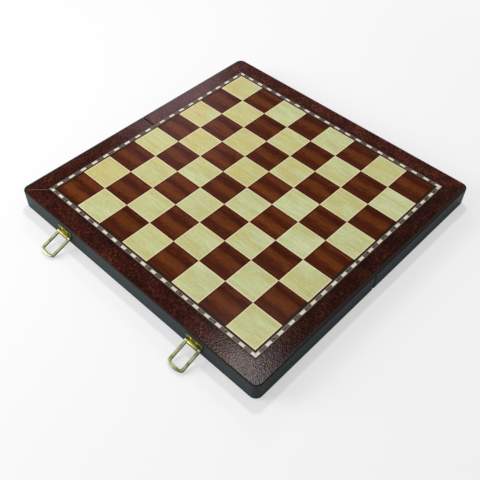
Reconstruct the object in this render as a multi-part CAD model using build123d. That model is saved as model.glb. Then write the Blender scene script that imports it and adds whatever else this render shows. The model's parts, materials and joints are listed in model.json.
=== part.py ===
from build123d import *
import os
from math import asin, atan2, degrees, hypot

# A folding chess board case, lying open with its playing side up.
# X runs along the fold, -Y is the front with the two latch loops, +Z is up.
# The origin is the middle of the fold, in the plane of the rims that it rests on.
# Both halves are drawn as the front half, and the back half is its mirror image.

# Playing field
square = 40.0  # side of one whole square
seam_square = 38.8  # depth of the squares beside the fold, which were trimmed there
files = 8  # squares along the fold
ranks = 4  # squares from the fold to the outer edge of one half

# Inlaid lines round the field, from the squares outwards
inner_line = 2.2  # black line
cream_line = 0.6  # cream line on each side of the blocks
block_width = 3.2  # row of light and dark blocks
outer_line = 1.2  # black line against the border
front_periods = 20  # light and dark pairs along the front edge
back_periods = 19  # light and dark pairs along the back edge
side_periods = 9  # light and dark pairs along each end of one half
light_share = 0.43  # part of a pair that is light
left_first_dark = 8.4  # dark block beside the fold at the left end
right_first_dark = 2.8  # dark block beside the fold at the right end

# Veneered border
border_width = 22.2
veneer = 0.8

# Trays
half_height = 25.0
rail_thickness = 10.0
panel_thickness = 5.0
rabbet_width = 5.0  # ledge in the rails that carries the panel
panel_clearance = 0.1
felt_thickness = 1.0
felt_clearance = 0.3
seam_gap = 0.2  # between the two halves when open
corner_radius = 8.5
seam_corner_radius = 2.5
arris_radius = 1.2  # rounding of the top outer edge
rim_chamfer = 0.5

# Butt hinges under the fold
hinge_x = 110.0  # middle of each hinge from the middle of the board
hinge_length = 30.0
hinge_knuckles = 3
leaf_reach = 8.6  # from the pin to the leaf's edge
leaf_thickness = 0.9
knuckle_radius = 1.5
hinge_pin_radius = 0.7
running_clearance = 0.05
knuckle_gap = 0.2  # between neighbouring knuckles
mortise_clearance = 0.3  # round a knuckle
recess_clearance = 0.1  # round a leaf
rim_gap = 0.3  # between the rims when the case is shut

# Hinge screws, countersunk
hinge_screw_spacing = 18.0
hinge_screw_inset = 5.6  # from the pin
hinge_screw_head = 1.8
hinge_screw_shank = 0.9
hinge_screw_length = 8.0

# Latches on the front edge
latch_x = 106.0
latch_height = 11.0  # loop's pivot above the rim
sheet = 1.0  # brass sheet of the plates
latch_plate_width = 24.0
latch_plate_rise = 9.0  # plate's top above the pivot
plate_corner = 1.5
barrel_length = 14.0
barrel_clear_edge = 2.8  # plate's lower edge above the pivot, beside the barrel
stub_radius = 1.5
stub_length = 4.2

# Loops
loop_gap = 0.35  # between the barrel and each leg
loop_leg = 3.8
loop_thickness = 2.2
loop_reach = 30.2  # from the pivot to the tip
loop_end_bar = 4.1  # width of the end bar at its middle
loop_bulge = 2.8  # rise of the tip's curve
loop_eye_radius = 2.1
loop_edge = 0.5  # bevel of the loop's edges
inner_corner = 1.6

# Catches on the back edge
catch_width = 18.0
catch_tail = 7.0  # plate on the rim side of the hook's root
catch_margin = 1.6  # plate beyond the hook's slot
hook_width = 7.0
hook_bend = 1.6  # inside radius of the hook's bend
hook_reach = 5.3  # from the wood to the hook's tip
hook_clearance = 0.7  # to the shut loop
hook_window = 4.4  # slot that the tongue was struck from
window_clearance = 0.1

# Raised-head screws of the plates
plate_screw_head = 1.6
plate_screw_rise = 0.9
plate_screw_bevel = 0.6
plate_screw_shank = 0.8
latch_screw_spacing = 8.4
latch_screw_rise = 5.9  # above the pivot
catch_screw_spacing = 8.8
catch_screw_inset = 3.8  # on the rim side of the hook's root

# Every screw
head_sides = 12  # flats that stand for the round of a screw's head
shank_sides = 8  # flats that stand for the round of a shank and of its hole
pilot_clearance = 0.05
tip_clearance = 0.3  # beyond a screw's tip
tip_cover = 0.2  # wood between a plate screw's hole and the panel's ledge

# Worked out from the sizes above
seam = seam_gap / 2
field_x = files * square / 2
field_depth = (ranks - 1) * square + seam_square
cream_start = inner_line
block_start = cream_start + cream_line
block_end = block_start + block_width
cream_end = block_end + cream_line
band_width = cream_end + outer_line
half_width = field_x + band_width + border_width
half_depth = field_depth + band_width + border_width
front_face = -(seam + half_depth)
rail_top = half_height - veneer
panel_bottom = rail_top - panel_thickness
axis_drop = rim_gap / 2
pivot_distance = sheet + stub_radius + running_clearance
barrel_radius = pivot_distance
loop_half_gap = barrel_length / 2 + loop_gap
loop_inside = loop_reach - loop_end_bar
latch_screw_height = latch_height + latch_screw_rise
hook_top = loop_inside - latch_height - rim_gap - hook_clearance
hook_root = hook_top - sheet - hook_bend
catch_screw_height = hook_root - catch_screw_inset
plate_screw_length = sheet + rail_thickness - rabbet_width - tip_cover - tip_clearance
over = 1.0  # cutting solids run past the wood by this much


def block(x0, x1, y0, y1, z0, z1):
    """A box between two corners."""
    centre = Pos((x0 + x1) / 2, (y0 + y1) / 2, (z0 + z1) / 2)
    return centre * Box(x1 - x0, y1 - y0, z1 - z0)


def plate_of(points, z0, z1):
    """A flat piece with straight edges through the points, from z0 up to z1."""
    face = make_face(Polyline(*[(x, y, z0) for x, y in points], close=True))
    return extrude(face, amount=z1 - z0, dir=(0, 0, 1))


def rod_x(radius, x0, x1, y, z):
    """A round rod along X."""
    return Pos((x0 + x1) / 2, y, z) * Rot(0, 90, 0) * Cylinder(radius, x1 - x0)


def shank_rod(radius, length):
    """A screw's shank, or the hole for one, from z 0 upwards."""
    return extrude(RegularPolygon(radius, shank_sides), amount=length)


def head_cone(radius, end_radius, length):
    """A tapered screw head, or the seat for one, from z 0 upwards."""
    end = Pos(0, 0, length) * RegularPolygon(end_radius, head_sides)
    return loft([RegularPolygon(radius, head_sides), end], ruled=True)


def envelope():
    """The outer form of one half: round corners, soft top edge, eased rim."""
    body = block(-half_width, half_width, front_face, -seam, 0, half_height)
    body = fillet(body.edges().filter_by(Axis.Z).group_by(Axis.Y)[0], corner_radius)
    top_edges = body.faces().sort_by(Axis.Z)[-1].edges().sort_by(Axis.Y)[:-1]
    body = fillet(top_edges, arris_radius)
    rim_edges = body.faces().sort_by(Axis.Z)[0].edges().sort_by(Axis.Y)[:-1]
    body = chamfer(rim_edges, rim_chamfer)
    for end in (-1, 1):
        x = end * (half_width - seam_corner_radius)
        y = -seam - seam_corner_radius
        size = seam_corner_radius + over
        corner = block(0, size, 0, size, -over, half_height + over)
        corner -= Pos(0, 0, half_height / 2) * Cylinder(seam_corner_radius, half_height + 3 * over)
        if end < 0:
            corner = mirror(corner, about=Plane.YZ)
        body -= Pos(x, y, 0) * corner
    return body


def strip_outline(side, a, b):
    """Corners of a mitred strip round the field, from a to b outside the squares."""
    xa = field_x + a
    xb = field_x + b
    ya = -(seam + field_depth + a)
    yb = -(seam + field_depth + b)
    if side == "front":
        return [(-xb, yb), (xb, yb), (xa, ya), (-xa, ya)]
    sign = -1 if side == "left" else 1
    return [(sign * xb, yb), (sign * xa, ya), (sign * xa, -seam), (sign * xb, -seam)]


def strip(side, a, b):
    """A veneer strip with mitred corners."""
    return plate_of(strip_outline(side, a, b), rail_top, half_height)


def border(outer, side):
    """A border veneer, trimmed to the outer form."""
    return strip(side, band_width, band_width + border_width + over) & outer


def lines(a, b):
    """The three strips of one inlaid line."""
    return [strip(side, a, b) for side in ("front", "left", "right")]


def runs(length, first_dark, periods, ends_light):
    """Starts and ends of the light and the dark blocks along one strip."""
    rest = length - first_dark
    pitch = rest / (periods + light_share) if ends_light else rest / periods
    light = []
    dark = [(0, first_dark)] if first_dark else []
    for i in range(periods):
        start = first_dark + i * pitch
        middle = start + light_share * pitch
        light.append((start, middle))
        dark.append((middle, start + pitch))
    if ends_light:
        light.append((length - light_share * pitch, length))
    return light, dark


def end_block(side, t0, t1):
    """A block of an end strip, placed by its distance from the fold."""
    sign = -1 if side == "left" else 1
    xa = sign * (field_x + block_start)
    xb = sign * (field_x + block_end)
    inner_stop = field_depth + block_start
    y0 = -(seam + t0)
    y1 = -(seam + t1)
    y1_inner = -(seam + min(t1, inner_stop))
    return plate_of([(xa, y0), (xb, y0), (xb, y1), (xa, y1_inner)], rail_top, half_height)


def front_block(t0, t1):
    """A block of the front strip, placed by its distance from the left mitre."""
    inner_stop = field_x + block_start
    reach = field_x + block_end
    x0 = t0 - reach
    x1 = t1 - reach
    yb = -(seam + field_depth + block_end)
    ya = -(seam + field_depth + block_start)
    inner0 = max(x0, -inner_stop)
    inner1 = min(x1, inner_stop)
    return plate_of([(x0, yb), (x1, yb), (inner1, ya), (inner0, ya)], rail_top, half_height)


def inlay_blocks(periods):
    """The light and the dark blocks of one half."""
    front_light, front_dark = runs(2 * (field_x + block_end), 0, periods, True)
    light = [front_block(*run) for run in front_light]
    dark = [front_block(*run) for run in front_dark]
    ends = (("left", left_first_dark, False), ("right", right_first_dark, True))
    for side, first_dark, ends_light in ends:
        end_light, end_dark = runs(field_depth + block_end, first_dark, side_periods, ends_light)
        light += [end_block(side, *run) for run in end_light]
        dark += [end_block(side, *run) for run in end_dark]
    return light, dark


def squares(parity):
    """The squares of one half whose file and rank add up to the parity."""
    found = []
    for i in range(files):
        for j in range(ranks):
            if (i + j) % 2 != parity:
                continue
            x0 = i * square - field_x
            y0 = j * square - seam - field_depth
            y1 = min(y0 + square, -seam)
            found.append(block(x0, x0 + square, y0, y1, rail_top, half_height))
    return found


def tray_frame(outer):
    """The four rails as one ring, before they are parted at the mitres."""
    well_x = half_width - rail_thickness
    well_front = front_face + rail_thickness
    well_back = -seam - rail_thickness
    ledge_x = half_width - rabbet_width
    ledge_front = front_face + rabbet_width
    ledge_back = -seam - rabbet_width
    wide = half_width + over
    ring = outer & block(-wide, wide, front_face - over, over, -over, rail_top)
    ring -= block(-well_x, well_x, well_front, well_back, -over, half_height)
    ring -= block(-ledge_x, ledge_x, ledge_front, ledge_back, panel_bottom, half_height)
    return ring


def mitre_sector(side):
    """The part of the plan that one rail fills, bounded by its 45 degree mitres."""
    x_in = half_width - rail_thickness
    y_front = front_face + rail_thickness
    y_back = -seam - rail_thickness
    x_out = half_width + over
    y_low = front_face - over
    y_high = -seam + over
    if side == "front":
        points = [(-x_out, y_low), (x_out, y_low), (x_in, y_front), (-x_in, y_front)]
    elif side == "hinge":
        points = [(-x_in, y_back), (x_in, y_back), (x_out, y_high), (-x_out, y_high)]
    else:
        sign = -1 if side == "left" else 1
        points = [(sign * x_out, y_low), (sign * x_in, y_front)]
        points += [(sign * x_in, y_back), (sign * x_out, y_high)]
    return plate_of(points, -over, half_height)


def hinge_mortise(x):
    """The wood taken out of a hinge rail: knuckle groove, leaf recess and pilot holes."""
    long = hinge_length / 2 + recess_clearance
    groove = knuckle_radius + mortise_clearance
    cut = rod_x(groove, x - long, x + long, 0, -axis_drop)
    depth = leaf_thickness + recess_clearance
    cut += block(x - long, x + long, -leaf_reach - recess_clearance, 0, -over, depth)
    for place in hinge_screw_places(x):
        cut += place * shank_rod(hinge_screw_shank + pilot_clearance, hinge_screw_length + tip_clearance)
    return cut


def hinge_screw_places(x):
    """Where the screws of one leaf stand in the rim, points upwards."""
    reach = hinge_screw_spacing / 2
    return [Pos(x - reach, -hinge_screw_inset, 0), Pos(x + reach, -hinge_screw_inset, 0)]


def plate_screw_places(x, height, spacing):
    """Where the two screws of a plate stand on its face, heads outwards."""
    face = front_face - sheet
    return [Pos(x + sign * spacing / 2, face, height) * Rot(90, 0, 0) for sign in (-1, 1)]


def plate_pilots(x, height, spacing):
    """The holes of a plate's two screws, through the plate and into the outer edge."""
    deep = plate_screw_length + tip_clearance
    hole = Pos(0, 0, -deep) * shank_rod(plate_screw_shank + pilot_clearance, deep + over)
    return [place * hole for place in plate_screw_places(x, height, spacing)]


def knuckle_spans(x):
    """Start and end of each knuckle along the pin."""
    pitch = (hinge_length + knuckle_gap) / hinge_knuckles
    start = x - hinge_length / 2
    return [(start + i * pitch, start + (i + 1) * pitch - knuckle_gap) for i in range(hinge_knuckles)]


def hinge_leaf(x, first):
    """A leaf with every second knuckle, counted from the given one."""
    clear = knuckle_radius + mortise_clearance
    left = x - hinge_length / 2
    right = x + hinge_length / 2
    leaf = block(left, right, -leaf_reach, -clear, 0, leaf_thickness)
    for x0, x1 in knuckle_spans(x)[first::2]:
        leaf += block(x0, x1, -clear, 0, 0, leaf_thickness)
        leaf += rod_x(knuckle_radius, x0, x1, 0, -axis_drop)
    bore = hinge_pin_radius + running_clearance
    leaf -= rod_x(bore, left - over, right + over, 0, -axis_drop)
    head = hinge_screw_head + pilot_clearance
    sink = head_cone(head, hinge_screw_shank + pilot_clearance, leaf_thickness)
    return leaf - [place * sink for place in hinge_screw_places(x)]


def hinge_screws():
    """Countersunk screws, heads flush with the leaves."""
    head = head_cone(hinge_screw_head, hinge_screw_shank, leaf_thickness)
    shank = shank_rod(hinge_screw_shank, hinge_screw_length - leaf_thickness)
    screw = head + Pos(0, 0, leaf_thickness) * shank
    return [place * screw for x in (-hinge_x, hinge_x) for place in hinge_screw_places(x)]


def plate_screws(height, spacing):
    """Raised-head screws of the two plates on one outer edge."""
    edge = plate_screw_rise - plate_screw_bevel
    crown = plate_screw_head - plate_screw_bevel
    screw = extrude(RegularPolygon(plate_screw_head, head_sides), amount=edge)
    screw += Pos(0, 0, edge) * head_cone(plate_screw_head, crown, plate_screw_bevel)
    screw += Pos(0, 0, -plate_screw_length) * shank_rod(plate_screw_shank, plate_screw_length)
    return [place * screw for x in (-latch_x, latch_x) for place in plate_screw_places(x, height, spacing)]


def latch_plate(x):
    """A brass plate whose lower edge is rolled into the barrel that holds the loop."""
    wide = latch_plate_width / 2
    low = latch_height + barrel_clear_edge
    top = latch_height + latch_plate_rise
    plate = block(x - wide, x + wide, front_face - sheet, front_face, low, top)
    plate = fillet(plate.edges().filter_by(Axis.Y), plate_corner)
    half = barrel_length / 2
    plate += block(x - half, x + half, front_face - sheet, front_face, latch_height, low + plate_corner)
    pivot_y = front_face - pivot_distance
    plate += rod_x(barrel_radius, x - half, x + half, pivot_y, latch_height)
    bore = stub_radius + running_clearance
    plate -= rod_x(bore, x - half - over, x + half + over, pivot_y, latch_height)
    return plate - plate_pilots(x, latch_screw_height, latch_screw_spacing)


def loop_rest_angle():
    """How far the loop slopes down when its tip lies on the table, in degrees."""
    half = loop_thickness / 2
    return degrees(asin(latch_height / hypot(loop_reach, half)) - atan2(half, loop_reach))


def latch_loop(x):
    """A flat loop with a curved end, two eyes and two stubs that turn in the barrel."""
    wide = loop_half_gap + loop_leg
    shoulder = loop_reach - loop_bulge
    outline = Polyline((-wide, -shoulder), (-wide, 0), (wide, 0), (wide, -shoulder))
    outline += ThreePointArc((wide, -shoulder), (0, -loop_reach), (-wide, -shoulder))
    deep = loop_thickness / 2 + over
    opening = block(-loop_half_gap, loop_half_gap, -loop_inside, over + loop_eye_radius, -deep, deep)
    opening = fillet(opening.edges().filter_by(Axis.Z).group_by(Axis.Y)[0], inner_corner)
    half = loop_thickness / 2
    loop = extrude(make_face(outline), amount=half, dir=(0, 0, 1), both=True)
    loop -= opening
    levels = loop.edges().group_by(Axis.Z)
    loop = chamfer([edge for edge in levels[0] + levels[-1] if edge.center().Y < -over], loop_edge)
    for sign in (-1, 1):
        inner = sign * loop_half_gap
        eye = sorted((inner, sign * wide))
        stub = sorted((inner, inner - sign * stub_length))
        loop += rod_x(loop_eye_radius, eye[0], eye[1], 0, 0)
        loop += rod_x(stub_radius, stub[0], stub[1], 0, 0)
    place = Pos(x, front_face - pivot_distance, latch_height)
    return place * Rot(loop_rest_angle(), 0, 0) * loop


def catch_plate(x):
    """A plate with a tongue struck out and bent into the hook that the loop drops over."""
    wide = catch_width / 2
    low = hook_root - catch_tail
    top = hook_root + hook_window + catch_margin
    plate = block(x - wide, x + wide, front_face - sheet, front_face, low, top)
    plate = fillet(plate.edges().filter_by(Axis.Y), plate_corner)
    slot = hook_width / 2 + window_clearance
    slot_end = hook_root + hook_window
    plate -= block(x - slot, x + slot, front_face - 2 * sheet, front_face + over, hook_root, slot_end)
    bend_y = front_face - sheet - hook_bend
    half = hook_width / 2
    bend = rod_x(hook_bend + sheet, x - half, x + half, bend_y, hook_root)
    bend -= rod_x(hook_bend, x - half - over, x + half + over, bend_y, hook_root)
    bend &= block(x - half, x + half, bend_y, front_face, hook_root, hook_top)
    tongue = block(x - half, x + half, front_face - hook_reach, bend_y, hook_top - sheet, hook_top)
    tongue = fillet(tongue.edges().filter_by(Axis.Z).group_by(Axis.Y)[0], plate_corner)
    return plate + bend + tongue - plate_pilots(x, catch_screw_height, catch_screw_spacing)


def half_pieces(parity, periods, screw_height, screw_spacing):
    """Every fixed piece of one half, drawn as the front half."""
    outer = envelope()
    ring = tray_frame(outer)
    rails = {side: ring & mitre_sector(side) for side in ("front", "left", "right", "hinge")}
    for x in (-hinge_x, hinge_x):
        rails["hinge"] -= hinge_mortise(x)
    for x in (-latch_x, latch_x):
        rails["front"] -= plate_pilots(x, screw_height, screw_spacing)
    panel_x = half_width - rabbet_width - panel_clearance
    panel_front = front_face + rabbet_width + panel_clearance
    panel_back = -seam - rabbet_width - panel_clearance
    felt_x = half_width - rail_thickness - felt_clearance
    felt_front = front_face + rail_thickness + felt_clearance
    felt_back = -seam - rail_thickness - felt_clearance
    light_blocks, dark_blocks = inlay_blocks(periods)
    creams = lines(cream_start, block_start) + lines(block_end, cream_end)
    blacks = lines(0, inner_line) + lines(cream_end, band_width)
    return {
        "outer_rail": rails["front"],
        "left_rail": rails["left"],
        "right_rail": rails["right"],
        "hinge_rail": rails["hinge"],
        "panel": block(-panel_x, panel_x, panel_front, panel_back, panel_bottom, rail_top),
        "felt_lining": block(
            -felt_x, felt_x, felt_front, felt_back, panel_bottom - felt_thickness, panel_bottom
        ),
        "dark_squares": squares(parity),
        "light_squares": squares(1 - parity),
        "outer_border": border(outer, "front"),
        "left_border": border(outer, "left"),
        "right_border": border(outer, "right"),
        "black_lines": blacks,
        "cream_lines": creams,
        "light_inlay_blocks": light_blocks,
        "dark_inlay_blocks": dark_blocks,
        "hinge_screws": hinge_screws(),
    }


def group(pieces):
    """One piece, or several as one group of separate solids."""
    return Compound(children=[p.solid() for p in pieces]) if isinstance(pieces, list) else pieces


def to_back(piece):
    """The mirror image in the fold."""
    return mirror(piece, about=Plane.XZ)


def assembly():
    """Every node of the board with its shape."""
    nodes = {}
    front = half_pieces(0, front_periods, latch_screw_height, latch_screw_spacing)
    back = half_pieces(1, back_periods, catch_screw_height, catch_screw_spacing)
    for name, pieces in front.items():
        nodes["front_" + name] = group(pieces)
    for name, pieces in back.items():
        nodes["back_" + name] = to_back(group(pieces))
    for side, x in (("left", -hinge_x), ("right", hinge_x)):
        nodes[side + "_hinge_front_leaf"] = hinge_leaf(x, 0)
        nodes[side + "_hinge_back_leaf"] = to_back(hinge_leaf(x, 1))
        long = hinge_length / 2
        nodes[side + "_hinge_pin"] = rod_x(hinge_pin_radius, x - long, x + long, 0, -axis_drop)
    for side, x in (("left", -latch_x), ("right", latch_x)):
        nodes[side + "_latch_plate"] = latch_plate(x)
        nodes[side + "_latch_loop"] = latch_loop(x)
        nodes[side + "_catch_plate"] = to_back(catch_plate(x))
    nodes["latch_plate_screws"] = group(plate_screws(latch_screw_height, latch_screw_spacing))
    nodes["catch_plate_screws"] = to_back(group(plate_screws(catch_screw_height, catch_screw_spacing)))
    return nodes


os.makedirs("parts", exist_ok=True)
for name, shape in assembly().items():
    export_step(shape, "parts/" + name + ".step")
print("board", 2 * half_width, "by", 2 * (seam + half_depth), "by", half_height, "mm per half")
print("loop slope at rest", round(loop_rest_angle(), 3), "degrees")
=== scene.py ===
import json
import math

import bpy
import numpy as np
from mathutils import Matrix, Vector


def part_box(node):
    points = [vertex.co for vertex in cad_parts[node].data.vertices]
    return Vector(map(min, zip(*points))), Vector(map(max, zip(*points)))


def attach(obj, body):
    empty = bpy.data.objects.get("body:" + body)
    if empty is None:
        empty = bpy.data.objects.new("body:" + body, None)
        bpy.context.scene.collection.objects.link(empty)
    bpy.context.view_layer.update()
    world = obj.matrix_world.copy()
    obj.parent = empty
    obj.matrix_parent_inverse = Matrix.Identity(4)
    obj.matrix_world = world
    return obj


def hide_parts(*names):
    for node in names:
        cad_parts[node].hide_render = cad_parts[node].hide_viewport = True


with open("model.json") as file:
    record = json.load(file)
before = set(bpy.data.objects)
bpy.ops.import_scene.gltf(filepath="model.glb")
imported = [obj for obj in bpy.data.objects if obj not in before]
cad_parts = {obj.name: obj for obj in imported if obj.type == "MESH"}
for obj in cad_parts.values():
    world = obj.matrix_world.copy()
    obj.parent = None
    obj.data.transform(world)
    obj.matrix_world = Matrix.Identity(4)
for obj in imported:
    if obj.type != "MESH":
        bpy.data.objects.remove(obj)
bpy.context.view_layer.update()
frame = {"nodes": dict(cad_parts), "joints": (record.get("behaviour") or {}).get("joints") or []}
nodes = frame["nodes"]
joints = {joint["name"]: joint for joint in frame["joints"]}
mm = 0.001
print("frame loaded:", len(nodes), "nodes")

# The board's own sizes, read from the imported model
railLow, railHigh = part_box("front_outer_rail")
squareLow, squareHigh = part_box("front_dark_squares")
board = {
    "halfWidth": railHigh.x,
    "halfDepth": -railLow.y,
    "cornerRadius": 8.5 * mm,
    "fieldX": squareHigh.x,
    "fieldY": -squareLow.y,
    "square": squareHigh.x / 4,  # four squares from the middle to either side
    "top": squareHigh.z,
}


# Linear colour of a display colour: ((c + 0.055) / 1.055) to the power 2.4, and c / 12.92 near black
def srgb(red, green, blue):
    shares = (red / 255, green / 255, blue / 255)
    return (*(c / 12.92 if c <= 0.04045 else ((c + 0.055) / 1.055) ** 2.4 for c in shares), 1.0)


# One output of a shader node; arithmetic on it adds Math nodes to the same tree
class Wire:
    def __init__(self, tree, socket):
        self.tree = tree
        self.socket = socket

    def __add__(self, other):
        return self.tree.math("ADD", self, other)

    def __radd__(self, other):
        return self.tree.math("ADD", other, self)

    def __sub__(self, other):
        return self.tree.math("SUBTRACT", self, other)

    def __rsub__(self, other):
        return self.tree.math("SUBTRACT", other, self)

    def __mul__(self, other):
        return self.tree.math("MULTIPLY", self, other)

    def __rmul__(self, other):
        return self.tree.math("MULTIPLY", other, self)

    def __truediv__(self, other):
        return self.tree.math("DIVIDE", self, other)

    def __rtruediv__(self, other):
        return self.tree.math("DIVIDE", other, self)

    def __abs__(self):
        return self.tree.math("ABSOLUTE", self)


# A node tree in the making: node() adds any node, and the rest are short ways to call it
class Tree:
    def __init__(self, owner):
        owner.use_nodes = True
        self.owner = owner
        self.nodes = owner.node_tree.nodes
        self.links = owner.node_tree.links
        self.nodes.clear()

    # A node of one kind: settings first, then values or links of its sockets
    def node(self, kind, settings=None, sockets=None, output=0):
        made = self.nodes.new("ShaderNode" + kind)
        for name, value in (settings or {}).items():
            if name == "stops":
                ramp = made.color_ramp.elements
                while len(ramp) < len(value):
                    ramp.new(1.0)
                for stop, (at, colour) in zip(ramp, value):
                    stop.position = at
                    stop.color = colour
            else:
                setattr(made, name, value)
        for name, value in (sockets or {}).items():
            if isinstance(value, Wire):
                self.links.new(value.socket, made.inputs[name])
            else:
                made.inputs[name].default_value = value
        return Wire(self, made.outputs[output] if len(made.outputs) else None)

    def math(self, operation, first, second=0.0):
        return self.node("Math", {"operation": operation}, {0: first, 1: second})

    def least(self, first, second):
        return self.math("MINIMUM", first, second)

    def most(self, first, second):
        return self.math("MAXIMUM", first, second)

    # From 0 to 1 along an S curve while the value goes from start to end, which may be the lower one
    def rise(self, value, start, end):
        sockets = {"Value": value, "From Min": start, "From Max": end}
        return self.node("MapRange", {"interpolation_type": "SMOOTHSTEP"}, sockets)

    # A Mix node's sockets for colours are its inputs 6 and 7 and its output 2
    def blend(self, share, first, second, kind="MIX"):
        settings = {"data_type": "RGBA", "blend_type": kind}
        return self.node("Mix", settings, {0: share, 6: first, 7: second}, output=2)

    # A colour times a grey shade, or times one shade for red and green and another for blue
    def shaded(self, colour, shade, blue=None):
        grey = self.join(shade, shade, shade if blue is None else blue)
        return self.blend(1.0, colour, grey, "MULTIPLY")

    def ramp(self, value, stops):
        return self.node("ValToRGB", {"stops": stops}, {"Fac": value})

    def place(self):
        return self.node("TexCoord", output="Object")

    def split(self, vector):
        socket = self.node("SeparateXYZ", sockets={0: vector}).socket
        return [Wire(self, out) for out in socket.node.outputs]

    def join(self, x, y, z):
        return self.node("CombineXYZ", sockets={0: x, 1: y, 2: z})

    def scaled(self, vector, factors):
        return self.node("VectorMath", {"operation": "MULTIPLY"}, {0: vector, 1: factors})

    def moved(self, vector, other):
        return self.node("VectorMath", {"operation": "ADD"}, {0: vector, 1: other})

    # Soft noise from 0 to 1 whose grains are size long along each axis, in metres
    def noise(self, vector, size, detail=3.0, roughness=0.55, distortion=0.0):
        sockets = {"Vector": self.scaled(vector, tuple(1 / s for s in size)), "Scale": 1.0, "Detail": detail}
        return self.node("TexNoise", None, {**sockets, "Roughness": roughness, "Distortion": distortion})

    # The finished surface: colour, roughness and height may vary, the rest are fixed values. The relief
    # is the height's depth in metres and the strength with which it shows.
    def surface(self, colour, roughness, height, relief, **fixed):
        depth, strength = relief
        bump = self.node("Bump", None, {"Strength": strength, "Distance": depth, "Height": height})
        sockets = {"Base Color": colour, "Roughness": roughness, "Normal": bump}
        sockets.update({name.replace("_", " "): value for name, value in fixed.items()})
        shader = self.node("BsdfPrincipled", None, sockets)
        self.node("OutputMaterial", None, {"Surface": shader})
        return self.owner


def newTree(name):
    return Tree(bpy.data.materials.new(name))


# A value from 0 to 1 turned into a shift of up to half the reach either way
def sway(value, reach):
    return (value - 0.5) * reach


# Two patterns laid over each other, of which the second has the given share
def mixed(first, second, share):
    return first * (1 - share) + second * share


# Where a point is in its square: its share of the way across the grain, a number for that square alone,
# the distance to the nearest side, and its place shuffled by that number. The rows are counted from
# the outer edge of each half, because the squares beside the fold were trimmed there.
def inSquare(tree, shuffle):
    x, y = tree.split(tree.place())[:2]
    column = (x + board["fieldX"]) / board["square"]
    row = (y - tree.math("SIGN", y) * board["fieldY"]) / board["square"]
    along = tree.math("FRACT", column)
    across = tree.math("FRACT", row)
    corner = tree.join(tree.math("FLOOR", column), tree.math("FLOOR", row), 0.0)
    chance = tree.node("TexWhiteNoise", {"noise_dimensions": "2D"}, {"Vector": corner}, output="Value")
    sides = tree.least(tree.least(along, 1 - along), tree.least(across, 1 - across)) * board["square"]
    shuffled = tree.moved(tree.place(), tree.join(chance * shuffle[0], chance * shuffle[1], 0.0))
    return across, chance, tree.least(sides, abs(y)), shuffled


darkSquareLook = {
    "bands": [
        (0.00, srgb(78, 34, 13)), (0.13, srgb(68, 26, 7)), (0.24, srgb(75, 31, 9)), (0.40, srgb(99, 50, 18)),
        (0.54, srgb(94, 46, 16)), (0.70, srgb(60, 19, 5)), (0.82, srgb(71, 27, 7)), (0.94, srgb(91, 43, 18)),
    ],
    "shuffle": (3.0, 7.0),  # how far apart the squares are cut from the same veneer, in metres
    "wander": 0.42,  # how far the clouds bend the bands
    "mottleWander": 0.3,
    "shift": 0.34,  # of the bands from square to square
    "cloud": {"size": (34 * mm, 6 * mm, 5 * mm), "detail": 2.0},
    "mottle": {"size": (4.6 * mm, 1.9 * mm, 2 * mm), "roughness": 0.65, "distortion": 0.4},
    "fibre": {"size": (9 * mm, 0.55 * mm, 1 * mm), "detail": 4.0, "roughness": 0.7},
    "pore": {"size": (3.2 * mm, 0.4 * mm, 1 * mm), "detail": 2.0},
    "poreRise": (0.60, 0.72),
    "baseShade": -0.09,
    "fibreShade": 1.1,
    "mottleShade": 1.1,
    "poreShade": 0.26,
    "squareDarkest": 0.88,
    "squareSpread": 0.24,
    "edge": srgb(40, 21, 5),
    "edgeWidth": 2.6 * mm,
    "edgeShare": 0.95,
    "fibreHeight": 0.4,
    "relief": (0.02 * mm, 0.3),
    "shine": 0.025,
    "roughness": 0.20,
    "roughSpread": 0.1,
}


# Dark veneer: soft bands along the grain, which runs along the fold, fine fibres and short dark pores
def darkSquares(look):
    tree = newTree("darkSquares")
    across, chance, side, shuffled = inSquare(tree, look["shuffle"])
    cloud = tree.noise(shuffled, **look["cloud"])
    mottle = tree.noise(shuffled, **look["mottle"])
    fibre = tree.noise(shuffled, **look["fibre"])
    pore = tree.rise(tree.noise(shuffled, **look["pore"]), *look["poreRise"])
    bend = sway(cloud, look["wander"]) + sway(mottle, look["mottleWander"])
    colour = tree.ramp(across + bend + sway(chance, look["shift"]), look["bands"])
    shade = fibre * look["fibreShade"] + mottle * look["mottleShade"] + look["baseShade"]
    shade = (shade - pore * look["poreShade"]) * (look["squareDarkest"] + chance * look["squareSpread"])
    nearEdge = tree.rise(side, look["edgeWidth"], 0.0) * look["edgeShare"]
    colour = tree.blend(nearEdge, tree.shaded(colour, shade), look["edge"])
    height = fibre * look["fibreHeight"] - pore
    rough = look["roughness"] + fibre * look["roughSpread"]
    return tree.surface(colour, rough, height, look["relief"], Specular_IOR_Level=look["shine"])


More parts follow.
